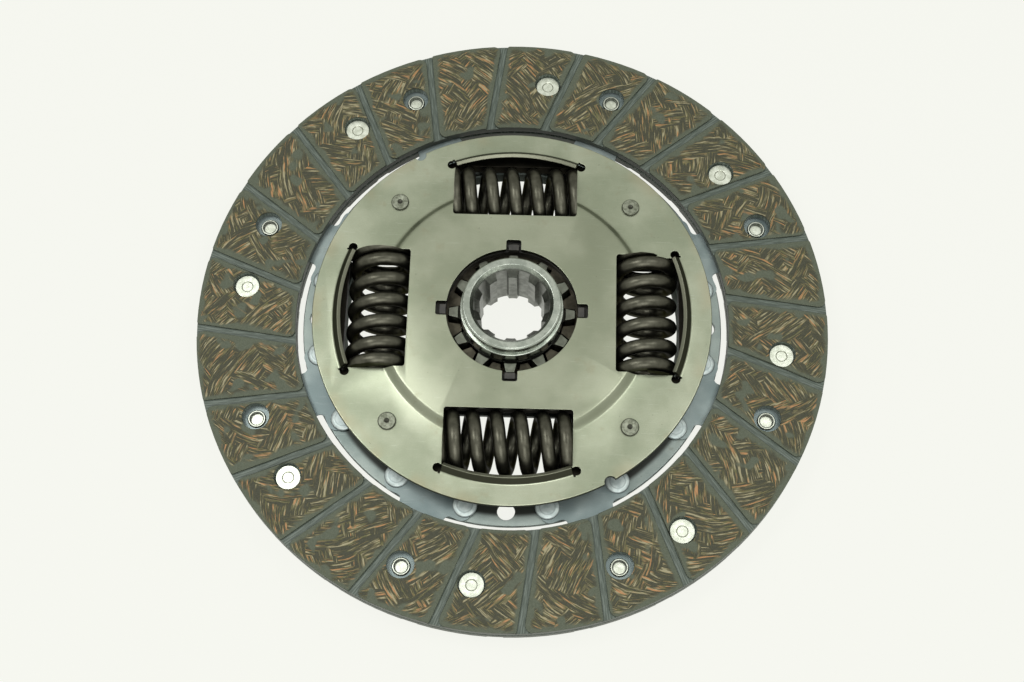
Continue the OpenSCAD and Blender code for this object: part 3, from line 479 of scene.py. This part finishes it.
blackened = spring_wire("oiled_spring_wire")
for number, spring_start in enumerate(spring_starts):
    mean_r = (spring_od - wire_d) / 2 * MM
    begin = math.radians(spring_start)
    bpy.ops.object.select_all(action="DESELECT")
    bpy.ops.mesh.primitive_circle_add(
        vertices=wire_sides, radius=wire_d / 2 * MM, rotation=(begin, 0, 0),
        location=(0, mean_r * math.cos(begin), mean_r * math.sin(begin)))
    spring = bpy.context.object
    spring.name = "damper_spring_%d_wound" % (number + 1)
    bpy.ops.object.transform_apply(location=True, rotation=True, scale=True)
    steps = round(spring_turns * steps_per_turn)
    coil = spring.modifiers.new("coil", "SCREW")
    coil.axis = "X"
    coil.angle = 2 * math.pi * spring_turns
    coil.steps = coil.render_steps = steps
    coil.use_merge_vertices = False
    bpy.ops.object.modifier_apply(modifier=coil.name)
    for point in spring.data.vertices:
        ring = point.index // wire_sides
        point.co.x += along(spring_turns * ring / steps) * MM
    bpy.ops.object.mode_set(mode="EDIT")
    bpy.ops.mesh.select_all(action="DESELECT")
    bpy.ops.mesh.select_non_manifold()
    bpy.ops.mesh.edge_face_add()
    for side in (-1, 1):
        bpy.ops.mesh.select_all(action="SELECT")
        bpy.ops.mesh.bisect(plane_co=(side * spring_len / 2 * MM, 0, 0), plane_no=(side, 0, 0),
                            use_fill=True, clear_outer=True)
    bpy.ops.mesh.select_all(action="SELECT")
    bpy.ops.mesh.normals_make_consistent(inside=False)
    turn = 2 * math.pi / len(spring_starts) * number
    bpy.ops.transform.rotate(value=-(turn + math.pi / 2), orient_axis="Z", center_override=(0, 0, 0))
    bpy.ops.transform.translate(value=(spring_r * MM * math.cos(turn), spring_r * MM * math.sin(turn),
                                       spring_z * MM))
    bpy.ops.object.mode_set(mode="OBJECT")
    bpy.ops.object.shade_smooth_by_angle(angle=math.radians(40))
    spring.data.materials.append(blackened)
    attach(spring, "spring_%d" % (number + 1))
    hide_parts("damper_spring_%d" % (number + 1))
    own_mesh(spring)


# Thrust ring and disc spring
# The thrust ring is moulded plastic, keyed to the retainer plate by four lugs. The disc spring,
# a cone of blued strip steel, presses it down on the friction ring.

thrust = finished("thrust_ring", "disc", broken_edge=0.15)
thrust.data.materials.append(moulded("thrust_ring_moulding", (0.018, 0.017, 0.014),
                                     (0.04, 0.037, 0.03), 0.5))
disc_spring = finished("disc_spring", "disc", broken_edge=0.08)
disc_spring.data.materials.append(hardened("blued_strip", (0.07, 0.08, 0.1), (0.16, 0.17, 0.18), 0.3))


# Retainer plate
# The cover plate on the gearbox side: 2 mm sheet, raised in the middle, its window lips bent up.
# Left bare and lightly oiled, so it is satin, champagne to green, with handling marks.

retainer_z = 17.55
retainer_top = 19.55
raised_z = 20.3
raised_top = 22.3
raised_r = 49.0
joggle_r = 53.0
lip_in_r = 60.5
lip_turn = math.radians(58)
lip_tip = -15.87


def formed_and_shaded(place, x, y, z):
    """The raised middle darker, the rim's warm tint, and painted shade: near black on the sheet's
    side walls and on the lips, which stay less dark at their cut tips."""
    radius = x.diagonal(y)
    middle = 1 - radius.rise(raised_r + 2, joggle_r + 0.5)
    near_rim = radius.rise(retainer_rim_r - 6.4, retainer_rim_r - 0.4)
    rim_tint = near_rim * place.noise(0.07, 2.0, 0.5).rise(0.45, 0.65)
    # painted shade: the sheet's side walls near black
    outer_wall = (z.rise(retainer_z + 0.05, retainer_z + 0.2)
                  * z.rise(retainer_top - 0.1, retainer_top - 0.22)
                  * radius.rise(joggle_r + 1, joggle_r + 1.5))
    inner_wall = (z.rise(raised_z + 0.05, raised_z + 0.2)
                  * z.rise(raised_top - 0.1, raised_top - 0.22)
                  * radius.rise(raised_r - 0.5, raised_r - 1))
    # painted shade: the bent-up lips near black, less dark at their cut tips
    scale = radius.rise(lip_in_r, lip_in_r + 0.5) * z.rise(retainer_top + 0.12, retainer_top + 0.45)
    up_lip = z * math.sin(lip_turn) - radius * math.cos(lip_turn)
    tip = up_lip.rise(lip_tip - 0.3, lip_tip - 0.2) * scale
    return ((middle * 0.35, (0.2, 0.21, 0.15)), (rim_tint * 0.3, (0.3, 0.24, 0.14)),
            (outer_wall * 0.9, (0.04, 0.038, 0.025)), (inner_wall * 0.9, (0.03, 0.03, 0.022)),
            (scale * 0.95, (0.032, 0.032, 0.021)), (tip * 0.9, (0.17, 0.175, 0.13)))


satin = sheet_steel("satin_retainer", (0.36, 0.385, 0.29), (0.27, 0.3, 0.215),
                    (0.2, 0.15, 0.08), roughness=0.33, stain_share=0.22, forming_and_shade=formed_and_shaded)
retainer = finished("retainer_plate", "disc", broken_edge=0.2)
retainer.data.materials.append(satin)


# Stop pins
# Four shouldered pins that hold the two plates apart and stop the hub flange. Turned steel, the
# ends riveted over, which leaves a small dimple in each head.

pin_ring_r = 63.0
pin_first = 45
pin_pitch = 90
pin_head_r = 3.4
dimple_edge_r = 0.9


def from_nearest(place, ring_r, first, pitch, pair_half=0):
    """Distance from the axis of the nearest of a ring of rivets, or of pairs of rivets."""
    x, y, z = place.axes()
    half = math.radians(pitch) / 2
    radius = x.diagonal(y)
    lean = place.math("WRAP", place.math("ARCTAN2", y, x) - math.radians(first), half, -half)
    if pair_half:
        lean = place.math("ABSOLUTE", lean) - math.radians(pair_half)
    off = place.math("COSINE", lean) * radius - ring_r
    aside = place.math("SINE", lean) * radius
    return off.diagonal(aside)


def riveted_and_shaded(name):
    """Turned steel, with painted shade near black in the dimple and round the edge of the head."""
    made, place = new_finish(name)
    ring = from_nearest(place, pin_ring_r, pin_first, pin_pitch)
    film = place.noise(0.8, 3.0, 0.6)
    grain = place.noise(4.0, 2.0, 0.6)
    base = film.rise(0.35, 0.65).paint((0.12, 0.13, 0.095), (0.24, 0.255, 0.2))
    # painted shade: near black in the dimple and round the edge of the head
    base = (ring.rise(dimple_edge_r + 0.25, dimple_edge_r) * 0.9).paint(base, (0.02, 0.02, 0.015))
    base = (ring.rise(pin_head_r - 0.35, pin_head_r - 0.1) * 0.8).paint(base, (0.04, 0.04, 0.03))
    surface(place, base, 0.42 + (film - 0.5) * 0.2, 0.9, grain, 0.02)
    return made


pins = finished("stop_pins", "disc", broken_edge=0.12)
pins.data.materials.append(riveted_and_shaded("riveted_pins"))


# Cushion segments
# Eight waved paddles of 0.7 mm spring steel that keep the facings apart until the clutch grips.
# Hardened and tempered in salt, which leaves a blue-grey skin.

segment_count = 8
segment_skin = sheet_steel("tempered_segment", (0.32, 0.38, 0.37), (0.18, 0.23, 0.23),
                           (0.16, 0.15, 0.1), roughness=0.4, stain_share=0.2, metallic=0.6)
for number in range(1, segment_count + 1):
    segment = finished("cushion_segment_%d" % number, "disc", broken_edge=0)
    segment.data.materials.append(segment_skin)


# Segment rivets
# Sixteen solid steel rivets, two to a segment's foot, set by a press. The heads are flat domes
# with a faint ring from the tool, and blued like the segments.

segment_ring_r = 74.3
segment_first = 22.5
segment_pair_half = 10.75
segment_head_r = 4.55
tool_ring_r = 2.85


def pressed_heads(name):
    """Dull blue-white steel with rings left by the setting tool."""
    made, place = new_finish(name)
    pitch = 360 / segment_count
    ring = from_nearest(place, segment_ring_r, segment_first, pitch, segment_pair_half)
    film = place.noise(0.5, 3.0, 0.6)
    base = film.rise(0.35, 0.65).paint((0.42, 0.49, 0.48), (0.56, 0.63, 0.61))
    tool = ring.rise(tool_ring_r - 0.3, tool_ring_r - 0.1)
    tool = tool * ring.rise(tool_ring_r + 0.3, tool_ring_r + 0.1)
    rim = ring.rise(segment_head_r - 0.45, segment_head_r - 0.2)
    base = (tool * 0.5).paint(base, (0.2, 0.24, 0.24))
    base = (rim * 0.6).paint(base, (0.12, 0.14, 0.14))
    surface(place, base, 0.5 + (film - 0.5) * 0.2, 0.6, place.noise(3.0, 2.0, 0.6), 0.015)
    return made


segment_rivets = finished("segment_rivets", "disc", broken_edge=0.15)
segment_rivets.data.materials.append(pressed_heads("blued_rivets"))


# Friction facings
# Two rings wound from yarn soaked in resin, pressed, cured and ground flat, so that the glass,
# brown fibre and copper wire of the yarn show as crossing strokes. 24 grooves are cut slanting.

facing_seats = {"gearbox": (9.25, 1, 0.0), "flywheel": (8.05, -1, 17.4)}
facing_t = 3.4
facing_in_r = 82.5
facing_out_r = 120.0
groove_pitch = math.radians(15)
groove_start = math.radians(-7.3)
groove_offset = 21.6
groove_w = 2.6
groove_depth = 1.0
wound_mid_r = 101.0
wound_reach = 19.5
wound_lobes = 6.5
strands = 115
stroke_rate = 3.4


def lining(name, seat, side, turn):
    """The wound lining, in the facing's own frame: seat is the height of its back, side is 1 for
    a face that looks up, and turn lays the pattern on the grooves."""
    made, place = new_finish(name)
    own = place.node("Mapping", None, {
        "Vector": place, "Location": (0, 0, -side * seat),
        "Rotation": (0, 0, math.radians(turn)), "Scale": (1, side, side)})
    x, y, z = own.axes()
    radius = x.diagonal(y)
    turned = own.math("ARCTAN2", y, x)

    # distance from the nearest groove's middle line, and place along it
    run = own.math("SQRT", own.math("MAXIMUM", radius * radius - groove_offset ** 2, 1.0))
    lean = turned - own.math("ARCSINE", own.math("DIVIDE", groove_offset, radius)) - groove_start
    lean = own.math("WRAP", lean, groove_pitch / 2, -groove_pitch / 2)
    from_groove = own.math("ABSOLUTE", lean) * run
    edge = own.math("MINIMUM", from_groove - groove_w / 2,
                    own.math("MINIMUM", facing_out_r - radius, radius - facing_in_r))
    clump = own.noise(0.16, 2.0, 0.5)
    inside = (edge + (clump - 0.5) * 5).rise(0.9, 2.6)

    # two crossing families of yarn, each laid in lobes between the rims, one over the other
    swing = own.math("ARCCOSINE", own.math("MINIMUM", own.math(
        "MAXIMUM", (radius - wound_mid_r) / wound_reach, -0.999), 0.999))
    drift = (own.noise(0.05, 1.0, 0.4) - 0.5) * 0.06
    over = own.noise(0.12, 1.0, 0.4).rise(0.485, 0.515)
    threads = []
    for hand in (-1, 1):
        laid = turned + swing * (hand / wound_lobes) + drift
        strand = own.node("CombineXYZ", None, {
            "X": own.math("COSINE", laid) * strands, "Y": own.math("SINE", laid) * strands,
            "Z": swing * stroke_rate + hand * 9})
        threads.append((strand.noise(1.0, 2.0, 0.6),
                        strand.stretched(0.6, 0.6, 0.7).noise(1.0, 1.0, 0.5)))
    thread, tone = (first * (1 - over) + second * over for first, second in zip(*threads))
    bare = own.stretched(1, 1, 0).noise(0.12, 1.0, 0.5).rise(0.33, 0.4)
    shown = inside * bare
    stroke = thread.rise(0.475, 0.525) * shown
    glint = thread.rise(0.575, 0.625) * shown

    grain = own.noise(2.2, 3.0, 0.65)
    matrix = grain.rise(0.3, 0.7).paint((0.082, 0.096, 0.064), (0.118, 0.134, 0.094))
    gap = grain.rise(0.3, 0.7).paint((0.038, 0.038, 0.023), (0.066, 0.063, 0.039))
    matrix = (shown * 0.85).paint(matrix, gap)
    yarn = tone.node("ValToRGB", {"stops": (
        (0.32, (0.1, 0.095, 0.052)), (0.45, (0.165, 0.145, 0.078)),
        (0.54, (0.145, 0.145, 0.06)), (0.66, (0.25, 0.18, 0.09)))}, {0: tone})
    bright = tone.rise(0.5, 0.62).paint((0.42, 0.38, 0.23), (0.52, 0.26, 0.11))
    base = (stroke * 0.85).paint(matrix, yarn)
    base = (glint * 0.75).paint(base, bright)

    # groove floors: pressed resin, paler, with marks along the groove; painted shade on the groove
    # walls
    top = z.rise(facing_t - 0.35, facing_t - 0.15)
    floor_line = own.node("CombineXYZ", None, {"X": lean * run * 2.2, "Y": run * 0.12, "Z": 0.0})
    scored = floor_line.noise(1.0, 3.0, 0.6)
    floor_tone = scored.rise(0.4, 0.75).paint((0.08, 0.1, 0.08), (0.2, 0.235, 0.2))
    # painted shade on the groove walls
    groove_wall_shade = own.math("MINIMUM", (z - (facing_t - groove_depth + 0.15)).rise(0, 0.1), 1 - top)
    floor_tone = groove_wall_shade.paint(floor_tone, (0.05, 0.055, 0.04))
    below = own.math("MINIMUM", radius - facing_in_r, facing_out_r - radius).rise(0.1, 0.02)
    base = top.paint(floor_tone, base)
    base = below.paint(base, grain.paint((0.05, 0.055, 0.042), (0.1, 0.11, 0.085)))
    height = top * (stroke * 0.7 + glint * 0.5 + grain * 0.35) + (1 - top) * scored * 0.5
    rough = 0.62 - glint * 0.2 - (1 - top) * 0.2 + (grain - 0.5) * 0.15
    surface(own, base, rough, 0.0, height, 0.12, specular_ior_level=0.25)
    return made


for side_name, (seat, side, turn) in facing_seats.items():
    facing = finished("facing_%s_side" % side_name, "disc", broken_edge=0.22,
                      heights=(seat, seat + side * facing_t))
    facing.data.materials.append(lining("wound_lining_" + side_name, seat, side, turn))


# Facing rivets
# Sixteen tubular steel rivets with flat heads in counterbores, bright from plating. Eight hold
# the gearbox-side facing, and eight the other, with their rolled ends up.

rivet_r = 103.1
rivet_first = 38.6
rivet_pitch = 45
heads_above = {"gearbox": 9.2, "flywheel": -8.1}
tail_bore_r = 2.35
tail_r = 3.5
dimple_r = 1.95


def plated(name, turn, side, head_above):
    """Bright plating, with painted shade in the head's dimple rim and near black in the rolled end's
    crease.
    """
    made, place = new_finish(name)
    own = place.node("Mapping", None, {
        "Vector": place, "Rotation": (0, 0, math.radians(turn)), "Scale": (1, side, side)})
    z = own.axes()[2]
    ring = from_nearest(own, rivet_r, rivet_first, rivet_pitch)
    film = place.noise(0.5, 3.0, 0.6)
    grain = place.noise(3.5, 2.0, 0.6)
    base = film.rise(0.35, 0.65).paint((0.52, 0.55, 0.46), (0.68, 0.71, 0.62))
    base = (grain.rise(0.62, 0.74) * 0.35).paint(base, (0.25, 0.25, 0.18))
    head = z.rise(head_above - 0.05, head_above + 0.05)
    dimple = ring.rise(dimple_r - 0.25, dimple_r) - ring.rise(dimple_r + 0.1, dimple_r + 0.45)
    crease = (ring.rise(tail_bore_r - 0.25, tail_bore_r - 0.05)
              - ring.rise(tail_bore_r + 0.3, tail_bore_r + 0.55))
    rim = ring.rise(tail_r - 0.35, tail_r - 0.15)
    # painted shade: darker in the head's dimple, near black in the rolled end's crease
    base = (head * dimple * 0.55).paint(base, (0.16, 0.16, 0.11))
    tail = 1 - head
    base = (tail * crease * 0.9).paint(base, (0.03, 0.035, 0.03))
    base = (tail * rim * 0.7).paint(base, (0.12, 0.14, 0.13))
    surface(place, base, 0.36 + (film - 0.5) * 0.2, 0.9, grain, 0.015)
    return made


for side_name, (seat, side, turn) in facing_seats.items():
    rivets = finished("facing_rivets_%s_side" % side_name, "disc", broken_edge=0.1)
    rivets.data.materials.append(plated("plated_rivet_" + side_name, turn, side,
                                       heads_above[side_name]))
